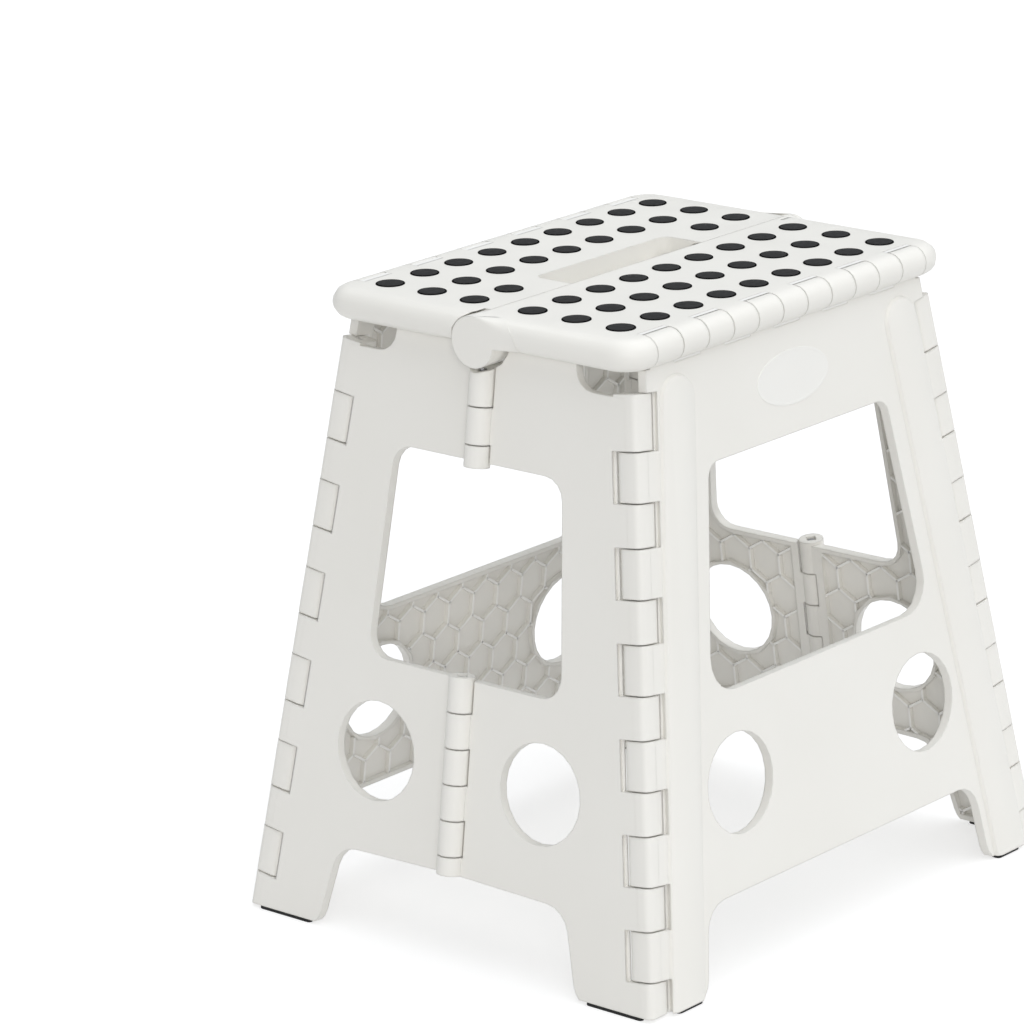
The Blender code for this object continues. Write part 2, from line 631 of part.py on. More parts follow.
def side_hole(sign, grow=0, sides=HOLE_SIDES):
    """Outline of a side half's round hole, widened all round."""
    across = side_edge(HOLE_HEIGHT, SIDE_HOLE_INSET)
    return circle(sign * across, HOLE_HEIGHT * SLANT_X, HOLE_RADIUS + grow, sides)


def dot_places(front):
    """Centres of the anti-slip dots on one seat half; the slot takes the middle of the rear first row."""
    sign = -1 if front else 1
    places = []
    for row in range(DOT_ROWS):
        for column in range(DOT_COLUMNS):
            x = DOT_PITCH * (column - (DOT_COLUMNS - 1) / 2)
            if not front and row == 0 and abs(x) < SLOT_HALF + DOT_RADIUS:
                continue
            places.append((x, sign * (DOT_FIRST_ROW + row * DOT_ROW_PITCH)))
    return places


def seat_half(front):
    """Seat half with a full round edge, ribs underneath and knuckles on its two long edges."""
    sign = -1 if front else 1
    name = "front_seat_half" if front else "rear_seat_half"
    end = SEAT_LENGTH / 2 - EDGE_RADIUS
    corner = SEAT_CORNER - EDGE_RADIUS
    past_seam = -sign * EDGE_RADIUS
    outline = rounded([
        (-end, past_seam, 0), (-end, sign * SEAT_AXIS_Y, corner), (end, sign * SEAT_AXIS_Y, corner),
        (end, past_seam, 0)])
    seat = prism(name, LEVEL, [outline], SEAT_UNDER, SEAT_HEIGHT, EDGE_RADIUS)
    seam_face = sorted((sign * SEAM_GAP / 2, -sign * FAR))
    cut(seat, boxes("seam", [((-FAR, seam_face[0], -FAR), (FAR, seam_face[1], FAR))]))
    cut(seat, seam_relief(sign))
    cut(seat, seat_pockets(sign))
    knuckles = spans_of(seam_axis, seam_intervals(front), SEAM_RADIUS, -KNUCKLE_GAP)
    knuckles += spans_of(seam_axis, [lobe_interval(front, SEAT_LENGTH / 2)], LOBE_RADIUS, -KNUCKLE_GAP)
    join(seat, rods("knuckles", knuckles))

    def edge(x):
        return Vector((x, sign * SEAT_AXIS_Y, SEAT_AXIS_Z))

    cut(seat, rods("edge_notches", spans_of(edge, seat_intervals(own=False), EDGE_RADIUS + SEAT_CLEAR,
                                            KNUCKLE_GAP)))
    notches = spans_of(seam_axis, seam_intervals(not front), SEAM_RADIUS + SEAM_CLEAR, KNUCKLE_GAP)
    notches += spans_of(seam_axis, [lobe_interval(not front, FAR)], LOBE_RADIUS + SEAM_CLEAR, KNUCKLE_GAP)
    cut(seat, rods("notches", notches))
    if front:
        cut(seat, handle_pocket())
    else:
        cut(seat, slot())
    seam_clear = PIN_CLEAR if front else SEAM_PIN_CLEAR
    reach = SEAT_ROW_HALF + SEAT_KNUCKLE / 2
    bores = [(edge(-reach), edge(reach), PIN_RADIUS + PIN_CLEAR)]
    for side in (-1, 1):
        bores.append((seam_axis(side * SLOT_HALF), seam_axis(side * (LOBE_END - SEAM_KNUCKLE / 2)),
                      PIN_RADIUS + seam_clear))
    cut(seat, bore_rods(bores))
    discs = [(Vector((x, y, SEAT_HEIGHT - SEAT_SKIN / 2)), Vector((x, y, SEAT_HEIGHT + DOT_RISE)), DOT_RADIUS)
             for x, y in dot_places(front)]
    join(seat, rods("dots", discs, DOT_SIDES))
    return seat


def seam_relief(sign):
    """Wedge under a seat half that slopes up to the seam axis."""
    frame = panel_frame(Vector((0, 0, SEAT_UNDER)), (0, sign, 0), (0, 0, 1))
    rise = SEAM_AXIS_Z + FOLD_GAP / 2 - SEAT_UNDER
    outline = rounded([(-RELIEF_REACH, 2 * rise, 0), (2 * RELIEF_REACH, -rise, 0), (-RELIEF_REACH, -rise, 0)])
    return prism("relief", frame, [outline], -FAR, FAR)


def seat_pockets(sign):
    """Hollows under a seat half, with ribs between them."""
    inner = LOBE_RADIUS + SEAM_CLEAR + SEAT_RIB
    if sign > 0:
        inner = max(inner, SLOT_REACH + SEAT_RIB)
    outer = SEAT_AXIS_Y - EDGE_RADIUS - SEAT_CLEAR - SEAT_RIB
    end = SEAT_LENGTH / 2 - EDGE_RADIUS - SEAT_RIM
    long_step = (2 * end + SEAT_RIB) / SEAT_POCKETS_LONG
    across_step = (outer - inner + SEAT_RIB) / SEAT_POCKETS_ACROSS
    spans = []
    for column in range(SEAT_POCKETS_LONG):
        for row in range(SEAT_POCKETS_ACROSS):
            x = -end + column * long_step
            near = inner + row * across_step
            y_pair = sorted((sign * near, sign * (near + across_step - SEAT_RIB)))
            spans.append(((x, y_pair[0], SEAT_UNDER - SEAT_SKIN),
                          (x + long_step - SEAT_RIB, y_pair[1], SEAT_HEIGHT - SEAT_SKIN)))
    return boxes("pockets", spans)


def grip_wave(x, half):
    """Depth of the finger waves at a place along the grip."""
    return GRIP_WAVE * (1 - math.cos(math.pi * GRIP_WAVES * (x / half + 1))) / 2


def handle():
    """Carrying handle of the front half: a flat loop with finger waves on its bar."""
    inner_half = HANDLE_HALF - HANDLE_LEG
    wave_half = inner_half - HANDLE_ROUND / 2
    steps = GRIP_WAVES * 4
    wave = [wave_half * (2 * index / steps - 1) for index in range(steps + 1)]
    outer = rounded([
        (HANDLE_HALF, HANDLE_REACH, HANDLE_ROUND), (-HANDLE_HALF, HANDLE_REACH, HANDLE_ROUND),
        (-HANDLE_HALF, -HANDLE_ROOT, 0), (HANDLE_HALF, -HANDLE_ROOT, 0)])
    outer = [Vector((point.x, point.y)) for point in outer]
    crest = [Vector((x, HANDLE_REACH - grip_wave(x, wave_half))) for x in reversed(wave)]
    far = max(range(len(outer)), key=lambda index: (outer[index].y, -abs(outer[index].x - wave_half)))
    outer = outer[:far + 1] + crest + outer[far + 1:]
    bar_inner = HANDLE_REACH - HANDLE_BAR
    gap = rounded([
        (-inner_half, -SEAM_GAP / 2, 0), (inner_half, -SEAM_GAP / 2, 0),
        (inner_half, bar_inner, HANDLE_ROUND / 2), (-inner_half, bar_inner, HANDLE_ROUND / 2)])
    return prism("carrying_handle", LEVEL, [outer, gap], SEAT_UNDER, SEAT_UNDER + HANDLE_THICK)


def handle_pocket():
    """Room for the handle's root under the front half."""
    half = HANDLE_HALF + HANDLE_GAP
    back = -HANDLE_ROOT - HANDLE_GAP
    outline = rounded([(-half, back, 0), (half, back, 0), (half, EDGE_RADIUS, 0), (-half, EDGE_RADIUS, 0)])
    return prism("pocket", LEVEL, [outline], SEAT_UNDER - SEAT_THICK, SEAT_UNDER + HANDLE_THICK + HANDLE_GAP)


def slot():
    """Room for the handle in the rear half."""
    outline = rounded([
        (-SLOT_HALF, -EDGE_RADIUS, 0), (SLOT_HALF, -EDGE_RADIUS, 0),
        (SLOT_HALF, SLOT_REACH, SLOT_ROUND), (-SLOT_HALF, SLOT_REACH, SLOT_ROUND)])
    return prism("slot", LEVEL, [outline], SEAT_UNDER - SEAT_THICK, SEAT_HEIGHT + SEAT_THICK)


def pad(name, x_pair, y_pair):
    """Rubber pad under a foot."""
    (x_low, x_high), (y_low, y_high) = sorted(x_pair), sorted(y_pair)
    outline = rounded([(x_low, y_low, PAD_ROUND), (x_high, y_low, PAD_ROUND), (x_high, y_high, PAD_ROUND),
                       (x_low, y_high, PAD_ROUND)], COARSE_STEP)
    return prism(name, LEVEL, [outline], 0, PAD_HEIGHT - PAD_GAP)


def leg_pad(name, side):
    """Pad under one foot of the front leg panel."""
    outer_x = AXIS_X - CORNER_NOTCH - PAD_INSET
    inner_x = leg_edge(0, LEG_FOOT_LOW_INSET) + FOOT_ROUND / 2
    inner_y = AXIS_Y + PANEL_INNER + PAD_INSET
    outer_y = AXIS_Y + PANEL_OUTER + RIDGE_RISE / 2
    return pad(name, (side * inner_x, side * outer_x), (-inner_y, -outer_y))


def side_pad(name, sign):
    """Pad under the foot of a left side half."""
    inner_y = side_edge(0, SIDE_FOOT_LOW_INSET) + FOOT_ROUND / 2
    outer_y = AXIS_Y
    inner_x = AXIS_X + PANEL_INNER + PAD_INSET
    outer_x = AXIS_X + PANEL_OUTER - PAD_INSET / 2
    return pad(name, (-inner_x, -outer_x), (sign * inner_y, sign * outer_y))


def pin(name, start, end):
    """Steel hinge pin."""
    return rods(name, [(start, end, PIN_RADIUS)], PIN_SIDES)


def turned_copy(name, source):
    """The same moulding on the opposite side of the stool."""
    copy = new_object(name, source.data)
    copy.matrix_world = HALF_TURN
    return copy


def material(name, colour, roughness, metallic=0.0):
    """Plain surface."""
    surface = bpy.data.materials.new(name)
    surface.use_nodes = True
    shader = surface.node_tree.nodes["Principled BSDF"]
    shader.inputs["Base Color"].default_value = (*colour, 1)
    shader.inputs["Roughness"].default_value = roughness
    shader.inputs["Metallic"].default_value = metallic
    return surface


def merge_flats(thing):
    """Merges the faces that cuts have left side by side in one plane."""
    body = bmesh.new()
    body.from_mesh(thing.data)
    bmesh.ops.dissolve_limit(body, angle_limit=FLAT_ANGLE, verts=body.verts, edges=body.edges)
    body.to_mesh(thing.data)
    body.free()


def finish(thing, surface):
    """Gives an object its material and smooth round faces."""
    thing.data.materials.clear()
    thing.data.materials.append(surface)
    thing.data.shade_smooth()
    thing.data.set_sharp_from_angle(angle=SMOOTH_ANGLE)


def hinge_empty(name, place, members):
    """Empty on a joint axis that carries the pieces of one moving body."""
    empty = new_object(name, None)
    empty.location = place
    bpy.context.view_layer.update()
    for thing in members:
        world = thing.matrix_world.copy()
        thing.parent = empty
        thing.matrix_world = world


def build():
    """Models every piece and hangs the moving ones on their axes."""
    plastic = material("white_plastic", (0.86, 0.855, 0.83), 0.38)
    rubber = material("black_rubber", (0.02, 0.02, 0.02), 0.8)
    steel = material("steel", (0.55, 0.55, 0.56), 0.3, 1.0)

    front_leg = leg_panel()
    left_front = side_half(front=True)
    left_rear = side_half(front=False)
    front_seat = seat_half(front=True)
    rear_seat = seat_half(front=False)
    grip = handle()
    for moulding in (front_leg, left_front, left_rear, front_seat, rear_seat):
        merge_flats(moulding)
    rear_leg = turned_copy("rear_leg_panel", front_leg)
    right_rear = turned_copy("right_rear_side", left_front)
    right_front = turned_copy("right_front_side", left_rear)
    mouldings = [front_leg, left_front, left_rear, front_seat, rear_seat, grip, rear_leg, right_rear,
                 right_front]

    front_pads = [leg_pad("front_leg_pad_left", -1), leg_pad("front_leg_pad_right", 1)]
    rear_pads = [turned_copy("rear_leg_pad_right", front_pads[0]), turned_copy("rear_leg_pad_left", front_pads[1])]
    left_front_pad = side_pad("left_front_side_pad", -1)
    left_rear_pad = side_pad("left_rear_side_pad", 1)
    right_rear_pad = turned_copy("right_rear_side_pad", left_front_pad)
    right_front_pad = turned_copy("right_front_side_pad", left_rear_pad)
    pads = front_pads + rear_pads + [left_front_pad, left_rear_pad, right_rear_pad, right_front_pad]

    pin_high = CORNER_END - KNUCKLE_GAP
    front_pins = [
        pin("corner_pin_front_left", corner_axis(-1, -1, PIN_FOOT), corner_axis(-1, -1, pin_high)),
        pin("corner_pin_front_right", corner_axis(1, -1, PIN_FOOT), corner_axis(1, -1, pin_high)),
        pin("seat_pin_front", seat_axis(-SEAT_ROW_HALF), seat_axis(SEAT_ROW_HALF))]
    rear_names = ["corner_pin_rear_right", "corner_pin_rear_left", "seat_pin_rear"]
    rear_pins = [turned_copy(name, source) for name, source in zip(rear_names, front_pins)]
    left_pins = [
        pin("end_pin_left_lower", centre_axis(CENTRE_LOW + KNUCKLE_GAP), centre_axis(CENTRE_HIGH - KNUCKLE_GAP)),
        pin("end_pin_left_upper", centre_axis(UPPER_LOW + KNUCKLE_GAP), centre_axis(UPPER_HIGH - KNUCKLE_GAP))]
    right_names = ["end_pin_right_lower", "end_pin_right_upper"]
    right_pins = [turned_copy(name, source) for name, source in zip(right_names, left_pins)]
    seam_in = SLOT_HALF + KNUCKLE_GAP
    seam_out = LOBE_END - SEAM_KNUCKLE / 2 - KNUCKLE_GAP
    seam_pins = [pin("seam_pin_left", seam_axis(-seam_out), seam_axis(-seam_in)),
                 pin("seam_pin_right", seam_axis(seam_in), seam_axis(seam_out))]
    pins = front_pins + rear_pins + left_pins + right_pins + seam_pins

    for surface, things in ((plastic, mouldings), (rubber, pads), (steel, pins)):
        for thing in things:
            finish(thing, surface)

    middle = SEAT_UNDER / 2
    turned = HALF_TURN.to_3x3()
    hinge_empty("left_front_corner_axis", corner_axis(-1, -1, middle), [left_front, left_front_pad] + left_pins)
    hinge_empty("left_end_axis", centre_axis(middle), [left_rear, left_rear_pad])
    hinge_empty("left_rear_corner_axis", corner_axis(-1, 1, middle), [rear_leg] + rear_pads + rear_pins)
    hinge_empty("right_front_corner_axis", corner_axis(1, -1, middle), [right_front, right_front_pad])
    hinge_empty("right_rear_corner_axis", corner_axis(1, 1, middle), [right_rear, right_rear_pad] + right_pins)
    hinge_empty("front_seat_axis", seat_axis(0), [front_seat, grip] + seam_pins)
    hinge_empty("rear_seat_axis", turned @ seat_axis(0), [rear_seat])


build()
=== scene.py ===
"""Dressing of the folding step stool.

It gives the CAD nodes their finishes, adds ribs behind the panels, walls in the slots beside the knuckles, cheeks at
the seam's ends, anti-slip dots and a bare oval plate, and sets up the floor, the lights and the camera.
"""
import math

import bmesh
import bpy
from mathutils import Matrix, Vector


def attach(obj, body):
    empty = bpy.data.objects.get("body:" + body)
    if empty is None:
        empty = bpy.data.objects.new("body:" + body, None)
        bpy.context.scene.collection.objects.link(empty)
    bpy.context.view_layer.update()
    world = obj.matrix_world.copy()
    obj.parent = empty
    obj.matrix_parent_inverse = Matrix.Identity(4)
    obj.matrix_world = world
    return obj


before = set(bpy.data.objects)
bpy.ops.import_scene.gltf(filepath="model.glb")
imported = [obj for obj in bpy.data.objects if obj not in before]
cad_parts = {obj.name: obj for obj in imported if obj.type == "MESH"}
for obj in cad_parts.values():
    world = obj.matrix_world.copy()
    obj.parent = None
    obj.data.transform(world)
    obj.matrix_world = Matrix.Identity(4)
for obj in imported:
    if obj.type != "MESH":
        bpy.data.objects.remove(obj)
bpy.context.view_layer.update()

# Sizes and counts repeated from the part, in metres
SEAT_HEIGHT = 0.390
SEAT_THICK = 0.0195
SEAT_LENGTH = 0.306
SEAT_AXIS_Y = 0.11025
SEAT_KNUCKLE = 0.0234
SEAT_KNUCKLES = 11
SLOT_HALF = 0.062
SEAM_AXIS_Z = 0.374
SEAM_LOBE = 0.0188
LOBE_RADIUS = 0.0158
FOOT_LENGTH = 0.3867
FOOT_WIDTH = 0.320
WAIST_LENGTH = 0.2818
WAIST_WIDTH = 0.2253
PANEL_INNER = 0.0032
PANEL_OUTER = 0.0092
SKIN = 0.0026
RIM = 0.0030
PAD_HEIGHT = 0.0022
KNUCKLE_TURN = 0.01068
CORNER_NOTCH = 0.01248
KNUCKLE_GAP = 0.0008
LEG_KNUCKLE = 0.0292
SIDE_KNUCKLE = 0.0254
LEG_KNUCKLES = 6
FIRST_KNUCKLE = 0.0212
CORNER_END = 0.3560
END_RADIUS = 0.0080
END_CLEAR = 0.0012
ARCH_HEIGHT = 0.0515
ARCH_ROUND = 0.018
HOLE_RADIUS = 0.0305
HOLE_HEIGHT = 0.1147
LEG_HOLE_INSET = 0.0778
SIDE_HOLE_INSET = 0.0718

# Sizes that follow from them
SEAT_AXIS_Z = SEAT_HEIGHT - SEAT_THICK / 2
SEAT_NOTCH = SEAT_THICK / 2 + 0.0016
SEAT_UNDER = SEAT_HEIGHT - SEAT_THICK
LEAN_X = (FOOT_LENGTH - WAIST_LENGTH) / 2 / SEAT_UNDER
LEAN_Y = (FOOT_WIDTH - WAIST_WIDTH) / 2 / SEAT_UNDER
SLANT_X = math.hypot(1, LEAN_X)
SLANT_Y = math.hypot(1, LEAN_Y)
AXIS_X = FOOT_LENGTH / 2 - PANEL_OUTER * SLANT_X
AXIS_Y = FOOT_WIDTH / 2 - PANEL_OUTER * SLANT_Y

# Hollows behind the panels, with window corners as (half width, height, rounding)
LEG_ARCH_FOOT = 0.144        # half the room between the feet
LEG_ARCH_TOP = 0.135         # half the room under the arch
LEG_WINDOW_LOW = (0.111, 0.167, 0.023)
LEG_WINDOW_HIGH = (0.089, 0.307, 0.013)
SIDE_ARCH_FOOT = 0.105
SIDE_ARCH_TOP = 0.092
SIDE_ARCH_MIDDLE = 0.0565    # height beside the end hinge
SIDE_WINDOW_LOW = (0.0785, 0.168, 0.017)
SIDE_WINDOW_HIGH = (0.0675, 0.303, 0.017)
SIDE_TOP = 0.3685
SIDE_NOTCH_LOW = 0.3535
SIDE_NOTCH_HALF = 0.069
SIDE_NOTCH_ROUND = 0.016
ARC_STEP = math.radians(15)
HOLE_SIDES = 48

# Six-sided cells of ribs in the hollows
CELL = 0.0235                # across the flats
CELL_STRETCH = 1.08          # upright stretch
LEG_CELL_SHIFT = (0.0037, -0.0034)
SIDE_CELL_SHIFT = (0.0, 0.0)
FIELD_ACROSS = 0.19          # each way from the middle
FIELD_UP = 0.40
SPOTS_IN_METRE = 1e5         # edges with the same middle on this grid are one
LEAST_TURN = 1e-15           # lines that turn less count as parallel
LEAST_SHARE = 1e-4           # shorter pieces of an edge are dropped
RIB_OVERRUN = 0.0007
RIB_TOP = PANEL_INNER + 0.0003
# Levels of a rib with its half width there, from the skin to the free edge
RIB_LEVELS = ((PANEL_OUTER - SKIN + 0.0002, 0.0010), (RIB_TOP + 0.0003, 0.0008), (RIB_TOP, 0.0006))

# Walls in the slots beside the knuckles, and lips along the seat's hinge
WALL_LEVELS = (0.0033, 0.0060)
WALL_NEAR = KNUCKLE_TURN + 0.00035
WALL_FAR = CORNER_NOTCH + 0.0011
WALL_STEPS = 4
LEG_LIP_LEVELS = (-0.0023, 0.0008)
SEAT_LIP_LEVELS = (-0.0020, 0.0097)
LIP_NEAR = SEAT_THICK / 2 + 0.0002
LIP_FAR = SEAT_THICK / 2 + 0.0018
LIP_STEPS = 12

# Cheeks that run the seam's end knuckles out into the seat's ends
CHEEK_REACH = 0.0170
CHEEK_DEPTH = 0.0030
CHEEK_FACE = 0.0001          # over the knuckle's end
CHEEK_LOW = math.radians(-8)
CHEEK_HIGH = math.radians(84)
CHEEK_TURNS = 20             # steps round the part that runs out
CHEEK_REST = 44              # steps round the rest of the knuckle
CHEEK_SHARES = 10            # steps of the way out

# Anti-slip dots
DOT_PITCH = 0.0310
DOT_ROW_PITCH = 0.0331
DOT_FIRST_ROW = 0.0223
DOT_COLUMNS = 9
DOT_ROWS = 3
DOT_RADIUS = 0.0088
DOT_SIDES = 40
# Profile of a dot as (radius, height over the seat), and how many of its bands are the dark ring
DOT_PROFILE = [(DOT_RADIUS, -0.0004), (DOT_RADIUS, 0.0003), (DOT_RADIUS - 0.0002, 0.0005),
               (DOT_RADIUS - 0.0006, 0.0006), (DOT_RADIUS - 0.0010, 0.00055),
               (DOT_RADIUS - 0.0015, 0.00065), (DOT_RADIUS * 0.5, 0.00075)]
DOT_RING_BANDS = 4
DOT_CROWN = 0.0008

# Oval plate
PLATE_HEIGHT = 0.337
PLATE_LONG = 0.0340
PLATE_SHORT = 0.0165
PLATE_RISE = 0.0004
PLATE_SIDES = 72
# Profile of the plate as (inset from its edge, height over the panel)
PLATE_PROFILE = [(0.0, -0.0002), (0.0, PLATE_RISE * 0.6), (0.0004, PLATE_RISE), (0.0016, PLATE_RISE),
                 (0.0020, PLATE_RISE * 0.75), (0.0026, PLATE_RISE * 0.75)]

# Shading
NOISE_LOW = 0.3              # usual range of the noise, stretched over colours and values
NOISE_HIGH = 0.7
EDGE_SAMPLES = 6
SHARP_TURN = math.radians(36)
WELD_DISTANCE = 2e-6

# Floor, sky and lights as (name, place, colour, strength, spread in degrees)
FLOOR_SIZE = 9
FLOOR_DARK = (0.490, 0.490, 0.490)
FLOOR_LIGHT = (0.510, 0.510, 0.510)
FLOOR_GIVEN = 0.27           # light that the floor gives
FLOOR_SEEN = 0.33            # more where the camera sees it
SKY_COLOUR = (0.96, 0.98, 1.0, 1)
SKY_STRENGTH = 0.42
LIGHTS = [("key", (0.3, -0.5, 2.0), (0.96, 0.98, 1.0), 1.85, 80),
          ("fill", (-1.4, -1.3, 0.65), (1.0, 0.98, 0.96), 0.75, 24)]

# Camera at the photo's angle
CAMERA_PLACE = (-2.3639, -1.9380, 1.1603)
CAMERA_AZIMUTH = math.radians(-49.171)
CAMERA_ELEVATION = math.radians(16.838)
CAMERA_ROLL = math.radians(-1.418)
CAMERA_LENS = 184.23
CAMERA_SENSOR = 36
CAMERA_FAR = 40

# Frames and directions
HALF_TURN = Matrix.Rotation(math.pi, 4, "Z")
WORLD = Matrix.Identity(4)
BACK = Vector((0, 1, 0))
UP = Vector((0, 0, 1))


def panel_frame(origin, across, up):
    """Frame with its X across a panel, its Y up the slant and its Z out of the outer face."""
    across = Vector(across).normalized()
    up = Vector(up).normalized()
    out = across.cross(up)
    matrix = Matrix((across, up, out)).transposed().to_4x4()
    matrix.translation = origin
    return matrix


FRONT = panel_frame(Vector((0, -AXIS_Y, 0)), (1, 0, 0), (0, LEAN_Y, 1))
LEFT = panel_frame(Vector((-AXIS_X, 0, 0)), (0, -1, 0), (LEAN_X, 0, 1))


# Objects and meshes


def new_object(name, data):
    """New object of the scene."""
    thing = bpy.data.objects.new(name, data)
    bpy.context.scene.collection.objects.link(thing)
    return thing


def add_piece(name, mesh, body):
    """Piece that rides on a body and takes its finish from a slot."""
    thing = new_object(name, mesh)
    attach(thing, body)


def add_pair(kind, mesh, body, opposite):
    """Moulded piece on a body, and the same piece half turned on the opposite body."""
    turned = mesh.copy()
    turned.transform(HALF_TURN)
    add_piece(body + "_" + kind, mesh, body)
    add_piece(opposite + "_" + kind, turned, opposite)


def mesh_of(name, shell, *materials):
    """Mesh of the closed faces made so far, with their normals outward."""
    bmesh.ops.recalc_face_normals(shell, faces=shell.faces)
    mesh = bpy.data.meshes.new(name)
    shell.to_mesh(mesh)
    shell.free()
    for material in materials:
        mesh.materials.append(material)
    return mesh


def closed_pairs(points):
    """Each point of a closed ring with the next one."""
    return zip(points, points[1:] + points[:1])


def oval(shell, place, middle, half_across, half_up, sides):
    """Closed ring of corners round a middle in a frame."""
    ring = []
    for side in range(sides):
        turn = 2 * math.pi * side / sides
        spot = middle + Vector((half_across * math.cos(turn), half_up * math.sin(turn), 0))
        ring.append(shell.verts.new(place @ spot))
    return ring


def add_bands(shell, rings):
    """Faces between each ring of corners and the next one, band by band."""
    bands = []
    for below, above in zip(rings, rings[1:]):
        pairs = zip(closed_pairs(below), closed_pairs(above))
        bands.append([shell.faces.new((*low, *reversed(high))) for low, high in pairs])
    return bands


def add_caps(shell, rings):
    """Faces that close the first and the last ring; gives the last one."""
    shell.faces.new(list(reversed(rings[0])))
    return shell.faces.new(rings[-1])


# Node materials


class Surface:
    """A material and short ways to add its nodes."""

    def __init__(self, name):
        self.material = bpy.data.materials.new(name)
        self.material.use_nodes = True
        self.tree = self.material.node_tree
        self.shader = self.tree.nodes["Principled BSDF"]
        self.place = self.tree.nodes.new("ShaderNodeTexCoord").outputs["Object"]

    def set(self, socket, value):
        """Sets a constant on the shader."""
        self.shader.inputs[socket].default_value = value

    def link(self, source, socket):
        """Links an output to a socket of the shader."""
        self.tree.links.new(source, self.shader.inputs[socket])

    def noise(self, scale, detail):
        """Noise with so many cycles in a metre."""
        node = self.tree.nodes.new("ShaderNodeTexNoise")
        node.inputs["Scale"].default_value = scale
        node.inputs["Detail"].default_value = detail
        self.tree.links.new(self.place, node.inputs["Vector"])
        return node.outputs["Fac"]

    def tint(self, source, low, high):
        """Colour between two colours."""
        node = self.tree.nodes.new("ShaderNodeValToRGB")
        stops = zip(node.color_ramp.elements, (NOISE_LOW, NOISE_HIGH), (low, high))
        for element, position, colour in stops:
            element.position = position
            element.color = (*colour, 1)
        self.tree.links.new(source, node.inputs["Fac"])
        return node.outputs["Color"]

    def span(self, source, middle, spread):
        """Value on both sides of a middle."""
        node = self.tree.nodes.new("ShaderNodeMapRange")
        node.inputs["From Min"].default_value = NOISE_LOW
        node.inputs["From Max"].default_value = NOISE_HIGH
        node.inputs["To Min"].default_value = middle - spread
        node.inputs["To Max"].default_value = middle + spread
        self.tree.links.new(source, node.inputs["Value"])
        return node.outputs["Result"]

    def glow(self, given, seen):
        """Strength of the light that a surface gives, with more where the camera sees it, also in reflections."""
        path = self.tree.nodes.new("ShaderNodeLightPath")
        either = path.outputs["Is Camera Ray"]
        for ray in ("Is Glossy Ray", "Is Transmission Ray"):
            node = self.tree.nodes.new("ShaderNodeMath")
            node.operation = "MAXIMUM"
            self.tree.links.new(either, node.inputs[0])
            self.tree.links.new(path.outputs[ray], node.inputs[1])
            either = node.outputs["Value"]
        node = self.tree.nodes.new("ShaderNodeMath")
        node.operation = "MULTIPLY_ADD"
        node.inputs[1].default_value = seen
        node.inputs[2].default_value = given
        self.tree.links.new(either, node.inputs[0])
        return node.outputs["Value"]

    def soft_edge(self, radius):
        """Normal that rounds the edges off in the shading."""
        node = self.tree.nodes.new("ShaderNodeBevel")
        node.samples = EDGE_SAMPLES
        node.inputs["Radius"].default_value = radius
        return node.outputs["Normal"]

    def bump(self, height, strength, distance, below=None):
        """Bump from a height, over another normal where one is given."""
        node = self.tree.nodes.new("ShaderNodeBump")
        node.inputs["Strength"].default_value = strength
        node.inputs["Distance"].default_value = distance
        self.tree.links.new(height, node.inputs["Height"])
        if below:
            self.tree.links.new(below, node.inputs["Normal"])
        return node.outputs["Normal"]


def plastic(name, low, high, rough, edge=None, wave=0.10):
    """Satin moulded plastic: faint cloudiness, fine grain and a slight wave of the moulded face."""
    surface = Surface(name)
    surface.link(surface.tint(surface.noise(scale=9, detail=4), low, high), "Base Color")
    surface.link(surface.span(surface.noise(scale=60, detail=4), middle=rough, spread=0.06), "Roughness")
    below = surface.soft_edge(edge) if edge else None
    face = surface.bump(surface.noise(scale=26, detail=2), strength=wave, distance=0.0006, below=below)
    grain = surface.bump(surface.noise(scale=2600, detail=2), strength=0.10, distance=0.0001, below=face)
    surface.link(grain, "Normal")
    surface.set("IOR", 1.46)
    return surface.material


def rubber(name, low, high, rough, grain, gloss=0.3):
    """Matte rubber: speckled black with a fine grain."""
    surface = Surface(name)
    surface.link(surface.tint(surface.noise(scale=700, detail=4), low, high), "Base Color")
    surface.link(surface.span(surface.noise(scale=300, detail=3), middle=rough, spread=0.08), "Roughness")
    surface.link(surface.bump(surface.noise(scale=grain, detail=3), strength=0.30, distance=0.0002), "Normal")
    surface.set("Specular IOR Level", gloss)
    return surface.material


def drawn_steel(name, low, high):
    """Drawn steel: mottled grey with a fine grain."""
    surface = Surface(name)
    surface.link(surface.tint(surface.noise(scale=500, detail=4), low, high), "Base Color")
    surface.link(surface.span(surface.noise(scale=900, detail=3), middle=0.32, spread=0.08), "Roughness")
    surface.link(surface.bump(surface.noise(scale=1500, detail=2), strength=0.15, distance=0.0001), "Normal")
    surface.set("Metallic", 1.0)
    return surface.material


WHITE = plastic("white_plastic_satin", (0.868, 0.852, 0.806), (0.890, 0.875, 0.832), rough=0.42, edge=0.0013)
# Lighter copy of the white plastic as painted light: a painted highlight on the ribs' free edges, and painted light
# that lifts the shade in the slots
PAINTED_LIGHT_WHITE = plastic("white_plastic_painted_light", (0.950, 0.942, 0.915), (0.965, 0.958, 0.935), rough=0.40)
PLATE_WHITE = plastic("white_plastic_plate", (0.895, 0.885, 0.850), (0.910, 0.900, 0.868), rough=0.55, wave=0.0)
DOT_FACE = rubber("dot_rubber", (0.009, 0.009, 0.010), (0.017, 0.017, 0.018), rough=0.66, grain=1800)
DOT_RING = rubber("dot_ring_rubber", (0.002, 0.002, 0.002), (0.004, 0.004, 0.004), rough=0.80, grain=2400, gloss=0.03)
PAD_BLACK = rubber("pad_rubber", (0.010, 0.010, 0.010), (0.024, 0.024, 0.024), rough=0.75, grain=1200)
STEEL = drawn_steel("drawn_steel", (0.46, 0.46, 0.47), (0.60, 0.60, 0.61))


# Finishes and smooth round faces of the CAD nodes


